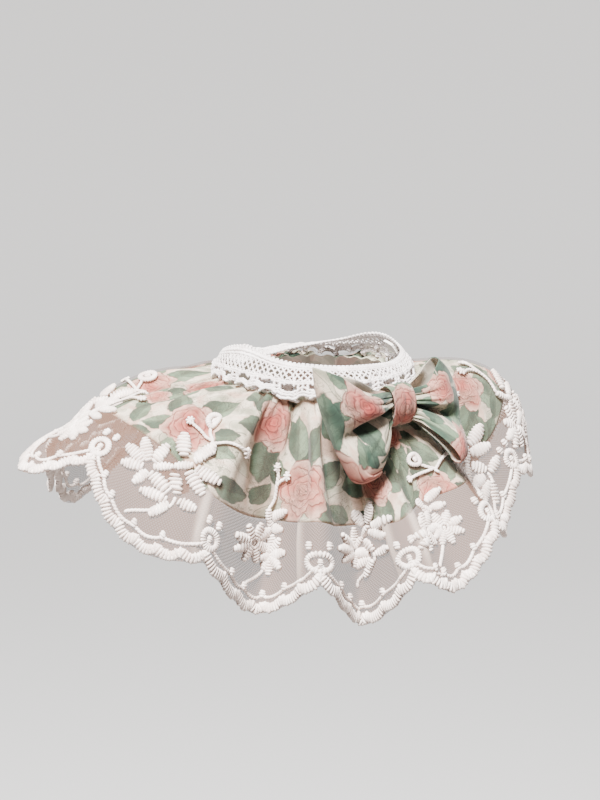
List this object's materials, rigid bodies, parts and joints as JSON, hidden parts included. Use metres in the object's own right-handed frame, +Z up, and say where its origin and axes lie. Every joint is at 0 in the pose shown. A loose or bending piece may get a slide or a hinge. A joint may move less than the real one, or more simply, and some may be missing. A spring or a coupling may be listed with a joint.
{
  "type": "lace bib collar",
  "caption": "Ruffled bib collar of embroidered net over floral cotton, gathered to a crochet neckband, with a bow at the front.",
  "frame": {"origin": "centre of the gathered neck seam, where the wearer's neck holds the collar up", "axes": "+Z up along the neck, -Y toward the front, where the bow is, +X to the wearer's left"},
  "size_m": [0.2414, 0.2106, 0.1095],
  "materials": {
    "embroidered_net": "fine even net with satin stitch embroidery, matt with a slight thread sheen",
    "floral_cotton": "plain weave printed cotton lawn, matt",
    "crochet_lace": "matt cotton crochet",
    "cotton_tape": "plain woven cotton, matt",
    "bow_cotton": "plain weave printed cotton lawn, matt"
  },
  "bodies": {
    "root": {"net_ruffle": "embroidered_net", "floral_ruffle": "floral_cotton", "neckband": "crochet_lace", "join_strip": "cotton_tape", "bow_wing_left": "bow_cotton", "bow_wing_right": "bow_cotton", "bow_knot": "bow_cotton"}
  },
  "joints": []
}
